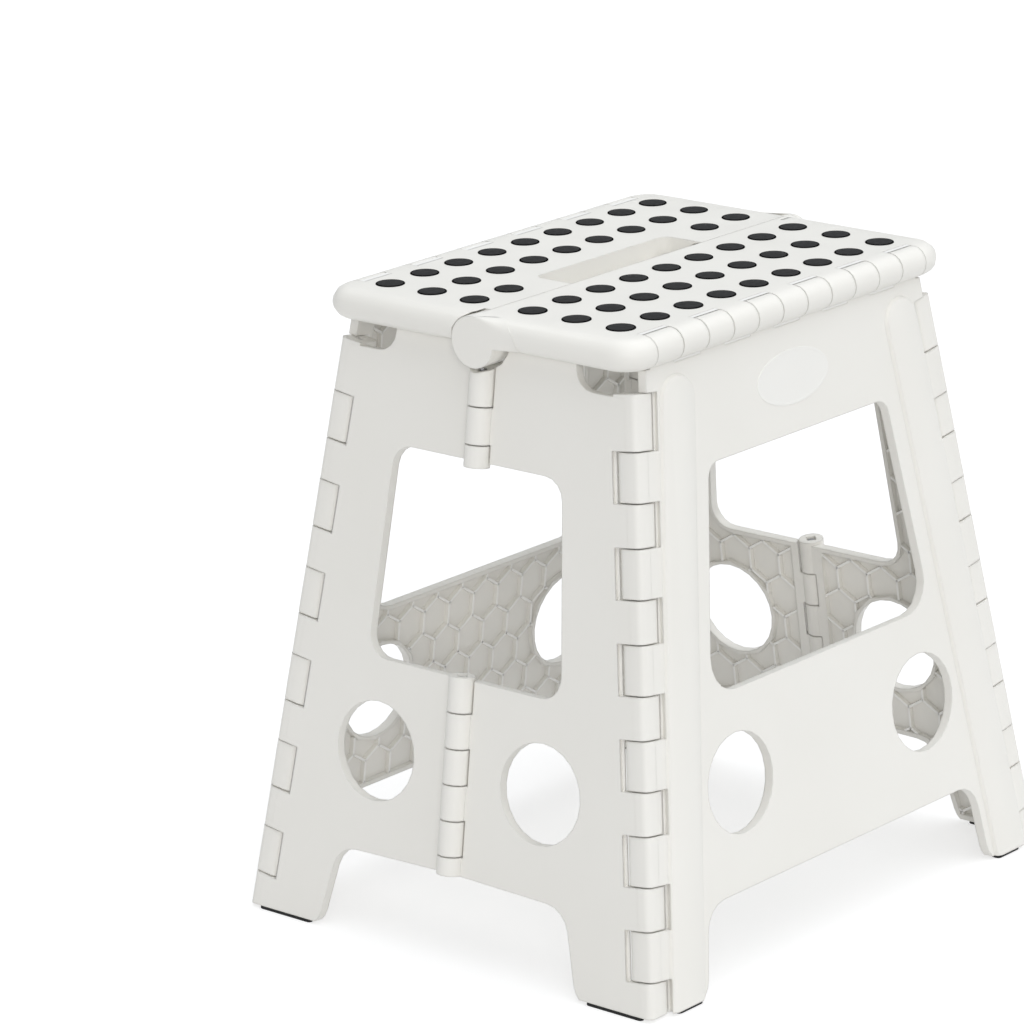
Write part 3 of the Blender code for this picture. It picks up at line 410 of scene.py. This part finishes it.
def smooth_group(angle):
    """Geometry nodes that shade a mesh smooth and keep the edges sharp that turn by more than an angle."""
    group = bpy.data.node_groups.new("smooth_rounds", "GeometryNodeTree")
    group.interface.new_socket("Geometry", in_out="INPUT", socket_type="NodeSocketGeometry")
    group.interface.new_socket("Geometry", in_out="OUTPUT", socket_type="NodeSocketGeometry")
    start = group.nodes.new("NodeGroupInput")
    merge = group.nodes.new("GeometryNodeMergeByDistance")
    merge.inputs["Distance"].default_value = WELD_DISTANCE
    clear = group.nodes.new("GeometryNodeRemoveAttribute")
    clear.inputs["Name"].default_value = "custom_normal"
    faces = group.nodes.new("GeometryNodeSetShadeSmooth")
    faces.domain = "FACE"
    faces.inputs["Shade Smooth"].default_value = True
    turn = group.nodes.new("GeometryNodeInputMeshEdgeAngle")
    sharp = group.nodes.new("FunctionNodeCompare")
    sharp.operation = "GREATER_THAN"
    sharp.inputs["B"].default_value = angle
    edges = group.nodes.new("GeometryNodeSetShadeSmooth")
    edges.domain = "EDGE"
    edges.inputs["Shade Smooth"].default_value = False
    end = group.nodes.new("NodeGroupOutput")
    group.links.new(start.outputs[0], merge.inputs["Geometry"])
    group.links.new(merge.outputs[0], clear.inputs["Geometry"])
    group.links.new(clear.outputs[0], faces.inputs["Geometry"])
    group.links.new(faces.outputs[0], edges.inputs["Geometry"])
    group.links.new(turn.outputs["Unsigned Angle"], sharp.inputs["A"])
    group.links.new(sharp.outputs["Result"], edges.inputs["Selection"])
    group.links.new(edges.outputs[0], end.inputs[0])
    return group


def dress_nodes():
    """Gives each CAD node its finish and the smooth shading."""
    smooth_rounds = smooth_group(SHARP_TURN)
    for node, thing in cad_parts.items():
        finish = STEEL if "_pin_" in node else PAD_BLACK if "_pad" in node else WHITE
        for material_slot in thing.material_slots:
            material_slot.material = finish
        thing.modifiers.new("smooth_rounds", "NODES").node_group = smooth_rounds


# Outlines in a panel's plane


def rounded(corners):
    """Closed outline through (across, up, radius) corners, with arcs where the radius isn't zero."""
    points = []
    count = len(corners)
    for index, (across, up, radius) in enumerate(corners):
        here = Vector((across, up))
        if radius <= 0:
            points.append(here)
            continue
        before = (Vector(corners[index - 1][:2]) - here).normalized()
        after = (Vector(corners[(index + 1) % count][:2]) - here).normalized()
        half = before.angle(after) / 2
        middle = here + (before + after).normalized() * radius / math.sin(half)
        start = here + before * radius / math.tan(half) - middle
        turn = math.pi - 2 * half
        sign = 1 if before.x * after.y - before.y * after.x < 0 else -1
        steps = max(1, math.ceil(turn / ARC_STEP))
        for step in range(steps + 1):
            points.append(middle + Matrix.Rotation(sign * turn * step / steps, 2) @ start)
    return points


def circle(across, up, radius):
    """Closed round outline."""
    turns = [2 * math.pi * side / HOLE_SIDES for side in range(HOLE_SIDES)]
    return [Vector((across + radius * math.cos(turn), up + radius * math.sin(turn))) for turn in turns]


def slanted(points, slant):
    """Outline with its heights stretched from the vertical to the slant of its panel."""
    return [Vector((point.x, point.y * slant)) for point in points]


def placed(corners, sign):
    """Corners on the right of the middle for 1, or on the left for -1."""
    return [(sign * across, up, radius) for across, up, radius in corners]


def leg_region():
    """Outlines of the hollow behind a leg panel: its edge, window and holes."""
    low = PAD_HEIGHT + RIM
    high = SEAT_AXIS_Z - SEAT_NOTCH - RIM
    inset = CORNER_NOTCH + RIM
    right = [(LEG_ARCH_TOP, ARCH_HEIGHT + RIM, ARCH_ROUND - RIM), (LEG_ARCH_FOOT, low, 0),
             (AXIS_X - LEAN_X * low - inset, low, 0), (AXIS_X - LEAN_X * high - inset, high, 0)]
    edge = rounded(placed(right[::-1], -1) + right)
    window = [LEG_WINDOW_LOW, LEG_WINDOW_HIGH]
    window = rounded(placed(window[::-1], -1) + window)
    across = AXIS_X - LEAN_X * HOLE_HEIGHT - LEG_HOLE_INSET
    holes = [circle(side * across, HOLE_HEIGHT * SLANT_Y, HOLE_RADIUS + RIM) for side in (-1, 1)]
    return [slanted(edge, SLANT_Y), slanted(window, SLANT_Y)] + holes


def side_region(sign):
    """Outlines of the hollow behind a left side half: its edge and hole."""
    low = PAD_HEIGHT + RIM
    high = SIDE_TOP - RIM
    inset = CORNER_NOTCH + RIM
    middle = END_RADIUS + END_CLEAR + RIM
    notch_low = SIDE_NOTCH_LOW - RIM
    notch_half = SIDE_NOTCH_HALF - RIM
    lobe = SEAM_LOBE + RIM
    edge = rounded(placed([
        (middle, SIDE_ARCH_MIDDLE, 0), (SIDE_ARCH_TOP, ARCH_HEIGHT + RIM, ARCH_ROUND - RIM), (SIDE_ARCH_FOOT, low, 0),
        (AXIS_Y - LEAN_Y * low - inset, low, 0), (AXIS_Y - LEAN_Y * notch_low - inset, notch_low, 0),
        (notch_half, notch_low, SIDE_NOTCH_ROUND), (notch_half, high, 0), (lobe, high, 0),
        (middle, SEAM_AXIS_Z - lobe, 0), (middle, SIDE_WINDOW_HIGH[1], 0), SIDE_WINDOW_HIGH, SIDE_WINDOW_LOW,
        (middle, SIDE_WINDOW_LOW[1], 0)], sign))
    across = AXIS_Y - LEAN_Y * HOLE_HEIGHT - SIDE_HOLE_INSET
    return [slanted(edge, SLANT_X), circle(sign * across, HOLE_HEIGHT * SLANT_X, HOLE_RADIUS + RIM)]


# Ribs behind the panels


def cell_edges(shift):
    """Edges of a shifted field of six-sided cells with upright flats."""
    radius = CELL / math.sqrt(3)
    row_pitch = 1.5 * radius
    corners = [Vector((radius * math.sin(math.pi / 3 * k), radius * CELL_STRETCH * math.cos(math.pi / 3 * k)))
               for k in range(6)]
    columns = math.ceil(FIELD_ACROSS / CELL) + 1
    edges = {}
    for row in range(-2, math.ceil(FIELD_UP / row_pitch) + 2):
        for column in range(-columns, columns + 1):
            middle = Vector(shift) + Vector(((column + 0.5 * (row % 2)) * CELL, row * row_pitch * CELL_STRETCH))
            for first, second in closed_pairs(corners):
                start = middle + first
                end = middle + second
                spot = (round((start.x + end.x) * SPOTS_IN_METRE), round((start.y + end.y) * SPOTS_IN_METRE))
                edges.setdefault(spot, (start, end))
    return list(edges.values())


def crossing(start, end, first, second):
    """Share of the way from start to end where it meets another line piece, or None."""
    along = end - start
    other = second - first
    turn = along.x * other.y - along.y * other.x
    if abs(turn) < LEAST_TURN:
        return None
    gap = first - start
    share = (gap.x * other.y - gap.y * other.x) / turn
    reach = (gap.x * along.y - gap.y * along.x) / turn
    if 0 < share < 1 and 0 <= reach <= 1:
        return share
    return None


def inside(point, outlines):
    """True where a point lies within the edge and outside the openings."""
    odd = False
    for outline in outlines:
        for first, second in closed_pairs(outline):
            if (first.y > point.y) != (second.y > point.y):
                if point.x < first.x + (point.y - first.y) / (second.y - first.y) * (second.x - first.x):
                    odd = not odd
    return odd


def clipped(edges, outlines):
    """The pieces of the edges that lie in a region."""
    pieces = []
    for start, end in edges:
        shares = [0.0, 1.0]
        for outline in outlines:
            for first, second in closed_pairs(outline):
                share = crossing(start, end, first, second)
                if share is not None:
                    shares.append(share)
        shares.sort()
        for low, high in zip(shares, shares[1:]):
            if high - low > LEAST_SHARE and inside(start.lerp(end, (low + high) / 2), outlines):
                pieces.append((start.lerp(end, low), start.lerp(end, high)))
    return pieces


def rib_mesh(name, place, outlines, shift):
    """Mesh of tapered ribs in a region of a panel, with a painted highlight of lighter white along their free edges.
    """
    shell = bmesh.new()
    for start, end in clipped(cell_edges(shift), outlines):
        along = (end - start).normalized()
        side = Vector((-along.y, along.x))
        start = start - along * RIB_OVERRUN
        end = end + along * RIB_OVERRUN
        rings = []
        for level, half in RIB_LEVELS:
            spots = (start - side * half, end - side * half, end + side * half, start + side * half)
            rings.append([shell.verts.new(place @ Vector((*spot, level))) for spot in spots])
        # The free edge band and the cap take the lighter white as a painted highlight
        painted_highlight_band = add_bands(shell, rings)[-1]
        for face in painted_highlight_band + [add_caps(shell, rings)]:
            face.material_index = 1
    return mesh_of(name, shell, WHITE, PAINTED_LIGHT_WHITE)


def add_ribs():
    """Ribs of all the panels."""
    add_pair("ribs", rib_mesh("leg_ribs", FRONT, leg_region(), LEG_CELL_SHIFT), "front_leg", "rear_leg")
    add_pair("ribs", rib_mesh("front_side_ribs", LEFT, side_region(1), SIDE_CELL_SHIFT), "left_front", "right_rear")
    add_pair("ribs", rib_mesh("rear_side_ribs", LEFT, side_region(-1), SIDE_CELL_SHIFT), "left_rear", "right_front")


# Walls in the slots beside the knuckles


def corner_axis(side, front, height):
    """Point of a slanted corner axis; side and front are -1 or 1."""
    return Vector((side * (AXIS_X - LEAN_X * height), front * (AXIS_Y - LEAN_Y * height), height))


def knuckle_intervals():
    """Heights of a leg panel's corner knuckles, and of a side half's beside them."""
    pitch = LEG_KNUCKLE + SIDE_KNUCKLE
    lows = [FIRST_KNUCKLE + pitch * index for index in range(LEG_KNUCKLES)]
    legs = [(low, low + LEG_KNUCKLE) for low in lows]
    sides = [(below[1], above[0]) for below, above in zip(legs, legs[1:])]
    return legs, [(PAD_HEIGHT, FIRST_KNUCKLE)] + sides + [(legs[-1][1], CORNER_END)]


def seat_intervals():
    """Places along the seat's long edge of the seat's knuckles, and of the leg panel's beside them."""
    starts = [SEAT_KNUCKLE * (index - SEAT_KNUCKLES / 2) for index in range(SEAT_KNUCKLES)]
    pairs = [(start, start + SEAT_KNUCKLE) for start in starts]
    return pairs[1::2], pairs[0::2]


def ring_section(near, far, levels, steps):
    """Section between two circles and two levels."""
    low, high = levels
    heights = [low + (high - low) * step / steps for step in range(steps + 1)]
    inner = [(math.sqrt(near ** 2 - height ** 2), height) for height in heights]
    outer = [(math.sqrt(far ** 2 - height ** 2), height) for height in heights]
    return inner + outer[::-1]


def add_bar(shell, start, end, across, out, section):
    """Bar from start to end with a section in two directions."""
    rings = [[shell.verts.new(spot + across * u + out * v) for u, v in section] for spot in (start, end)]
    add_bands(shell, rings)
    add_caps(shell, rings)


def add_corner_walls(shell, panel, side, front, toward, intervals):
    """Walls in the slots of a panel's slanted edge."""
    out = panel.col[2].xyz
    along = (corner_axis(side, front, 1) - corner_axis(side, front, 0)).normalized()
    across = along.cross(out)
    if across.dot(toward) < 0:
        across.negate()
    section = ring_section(WALL_NEAR, WALL_FAR, WALL_LEVELS, WALL_STEPS)
    for low, high in intervals:
        start = corner_axis(side, front, low - KNUCKLE_GAP / 2)
        end = corner_axis(side, front, high + KNUCKLE_GAP / 2)
        add_bar(shell, start, end, across, out, section)


def add_edge_lips(shell, intervals, across, out, levels):
    """Lips in the slots of the seat's front edge."""
    section = ring_section(LIP_NEAR, LIP_FAR, levels, LIP_STEPS)
    for low, high in intervals:
        start = Vector((low - KNUCKLE_GAP / 2, -SEAT_AXIS_Y, SEAT_AXIS_Z))
        end = Vector((high + KNUCKLE_GAP / 2, -SEAT_AXIS_Y, SEAT_AXIS_Z))
        add_bar(shell, start, end, across, out, section)


def add_slot_walls():
    """Walls and lips of all the slots."""
    leg_knuckles, side_knuckles = knuckle_intervals()
    seat_knuckles, leg_seat_knuckles = seat_intervals()
    leg = bmesh.new()
    for side in (-1, 1):
        add_corner_walls(leg, FRONT, side, -1, Vector((-side, 0, 0)), side_knuckles)
    add_edge_lips(leg, seat_knuckles, -UP, BACK, LEG_LIP_LEVELS)
    front_half = bmesh.new()
    add_corner_walls(front_half, LEFT, -1, -1, BACK, leg_knuckles)
    rear_half = bmesh.new()
    add_corner_walls(rear_half, LEFT, -1, 1, -BACK, leg_knuckles)
    seat = bmesh.new()
    add_edge_lips(seat, leg_seat_knuckles, BACK, UP, SEAT_LIP_LEVELS)
    # The slot walls and lips take the lighter white, painted light that lifts the shade in the slots
    add_pair("slot_walls", mesh_of("leg_walls", leg, PAINTED_LIGHT_WHITE), "front_leg", "rear_leg")
    add_pair("slot_walls", mesh_of("front_half_walls", front_half, PAINTED_LIGHT_WHITE), "left_front", "right_rear")
    add_pair("slot_walls", mesh_of("rear_half_walls", rear_half, PAINTED_LIGHT_WHITE), "left_rear", "right_front")
    add_pair("slot_walls", mesh_of("seat_walls", seat, PAINTED_LIGHT_WHITE), "front_seat", "rear_seat")


# Cheeks at the seam's ends


def cheek_point(turn, share):
    """Point from the end knuckle's rim, at a turn, to the seat's round end."""
    ease = share * share * (3 - 2 * share)
    radius = LOBE_RADIUS - CHEEK_FACE
    half = SEAT_THICK / 2 + CHEEK_FACE
    rim = Vector((-SEAT_LENGTH / 2 - CHEEK_FACE, -radius * math.cos(turn), SEAM_AXIS_Z + radius * math.sin(turn)))
    level = min(1, max(-1, (rim.z - SEAT_AXIS_Z) / half))
    end = Vector((rim.x + half * (1 - math.sqrt(1 - level ** 2)), rim.y - CHEEK_REACH, rim.z))
    return Vector((rim.x + (end.x - rim.x) * ease, rim.y + (end.y - rim.y) * share, rim.z))


def cheek_mesh(name):
    """Closed cheek: a face over the knuckle's end that runs out into the seat, and the same face moved inward."""
    turns = [CHEEK_LOW + (CHEEK_HIGH - CHEEK_LOW) * step / CHEEK_TURNS for step in range(CHEEK_TURNS + 1)]
    shares = [step / CHEEK_SHARES for step in range(CHEEK_SHARES + 1)]
    left_over = 2 * math.pi + CHEEK_LOW - CHEEK_HIGH
    rest = [CHEEK_HIGH + left_over * step / CHEEK_REST for step in range(1, CHEEK_REST)]
    shell = bmesh.new()
    rims = []
    for deep in (0, CHEEK_DEPTH):
        inward = Vector((deep, 0, 0))
        grid = [[shell.verts.new(cheek_point(turn, share) + inward) for share in shares] for turn in turns]
        arc = [shell.verts.new(cheek_point(turn, 0) + inward) for turn in rest]
        for row, after in zip(grid, grid[1:]):
            for k in range(CHEEK_SHARES):
                shell.faces.new((row[k], row[k + 1], after[k + 1], after[k])).smooth = True
        shell.faces.new([row[0] for row in grid] + arc).smooth = True
        rims.append(grid[0][::-1] + arc[::-1] + grid[-1] + [row[-1] for row in grid[-2:0:-1]])
    for face in add_bands(shell, rims)[0]:
        for edge in face.edges:
            edge.smooth = False
    return mesh_of(name, shell, WHITE)


# Anti-slip dots


def dot_mesh(name, sign):
    """Round rubber dots of the front seat half for -1 or the rear one for 1, whose first row leaves out the slot."""
    shell = bmesh.new()
    for row in range(DOT_ROWS):
        for column in range(DOT_COLUMNS):
            x = DOT_PITCH * (column - (DOT_COLUMNS - 1) / 2)
            if sign > 0 and row == 0 and abs(x) < SLOT_HALF + DOT_RADIUS:
                continue
            middle = Vector((x, sign * (DOT_FIRST_ROW + row * DOT_ROW_PITCH), SEAT_HEIGHT))
            rings = [oval(shell, WORLD, middle + UP * height, radius, radius, DOT_SIDES)
                     for radius, height in DOT_PROFILE]
            for band in add_bands(shell, rings)[:DOT_RING_BANDS]:
                for face in band:
                    face.material_index = 1
            shell.faces.new(list(reversed(rings[0])))
            crown = shell.verts.new(middle + UP * DOT_CROWN)
            for first, second in closed_pairs(rings[-1]):
                shell.faces.new((first, second, crown))
    for face in shell.faces:
        face.smooth = True
    return mesh_of(name, shell, DOT_FACE, DOT_RING)


# Bare oval plate on the front leg panel


def plate_mesh(name):
    """Thin oval plate with a rounded rim."""
    shell = bmesh.new()
    rings = []
    for inset, height in PLATE_PROFILE:
        middle = Vector((0, PLATE_HEIGHT * SLANT_Y, PANEL_OUTER + height))
        rings.append(oval(shell, FRONT, middle, PLATE_LONG - inset, PLATE_SHORT - inset, PLATE_SIDES))
    add_bands(shell, rings)
    add_caps(shell, rings)
    return mesh_of(name, shell, PLATE_WHITE)


# Floor, lights and camera


def add_floor():
    """Plain pale floor."""
    shell = bmesh.new()
    bmesh.ops.create_grid(shell, x_segments=1, y_segments=1, size=FLOOR_SIZE)
    mesh = bpy.data.meshes.new("floor")
    shell.to_mesh(mesh)
    shell.free()
    surface = Surface("pale_floor")
    surface.link(surface.tint(surface.noise(scale=1.5, detail=2), FLOOR_DARK, FLOOR_LIGHT), "Base Color")
    surface.set("Roughness", 0.9)
    surface.set("Specular IOR Level", 0.1)
    surface.set("Emission Color", (1, 1, 1, 1))
    surface.link(surface.glow(FLOOR_GIVEN, FLOOR_SEEN), "Emission Strength")
    mesh.materials.append(surface.material)
    new_object("floor", mesh)


def add_light(name, place, colour, strength, spread):
    """Soft light from far away, from the side of a place."""
    data = bpy.data.lights.new(name, "SUN")
    data.color = colour
    data.energy = strength
    data.angle = math.radians(spread)
    lamp = new_object(name, data)
    lamp.location = place
    lamp.rotation_euler = (-Vector(place)).to_track_quat("-Z", "Y").to_euler()


def add_sky():
    """Even light from all sides."""
    world = bpy.data.worlds.new("studio")
    world.use_nodes = True
    background = world.node_tree.nodes["Background"]
    background.inputs["Color"].default_value = SKY_COLOUR
    background.inputs["Strength"].default_value = SKY_STRENGTH
    bpy.context.scene.world = world


def add_camera():
    """Camera at the photo's angle."""
    ahead = Vector((-math.sin(CAMERA_AZIMUTH) * math.cos(CAMERA_ELEVATION),
                    math.cos(CAMERA_AZIMUTH) * math.cos(CAMERA_ELEVATION), -math.sin(CAMERA_ELEVATION)))
    right = ahead.cross(UP).normalized()
    up = right.cross(ahead)
    turned_right = right * math.cos(CAMERA_ROLL) + up * math.sin(CAMERA_ROLL)
    turned_up = up * math.cos(CAMERA_ROLL) - right * math.sin(CAMERA_ROLL)
    data = bpy.data.cameras.new("camera")
    data.lens = CAMERA_LENS
    data.sensor_width = CAMERA_SENSOR
    data.clip_end = CAMERA_FAR
    camera = new_object("camera", data)
    matrix = Matrix((turned_right, turned_up, -ahead)).transposed().to_4x4()
    matrix.translation = CAMERA_PLACE
    camera.matrix_world = matrix
    bpy.context.scene.camera = camera


dress_nodes()
add_ribs()
add_slot_walls()
add_pair("cheek", cheek_mesh("seam_cheek"), "front_seat", "rear_seat")
add_piece("front_seat_dots", dot_mesh("front_seat_dots", -1), "front_seat")
add_piece("rear_seat_dots", dot_mesh("rear_seat_dots", 1), "rear_seat")
add_piece("front_oval_plate", plate_mesh("front_oval_plate"), "front_leg")
add_floor()
for light in LIGHTS:
    add_light(*light)
add_sky()
add_camera()
bpy.context.scene.view_settings.view_transform = "Standard"
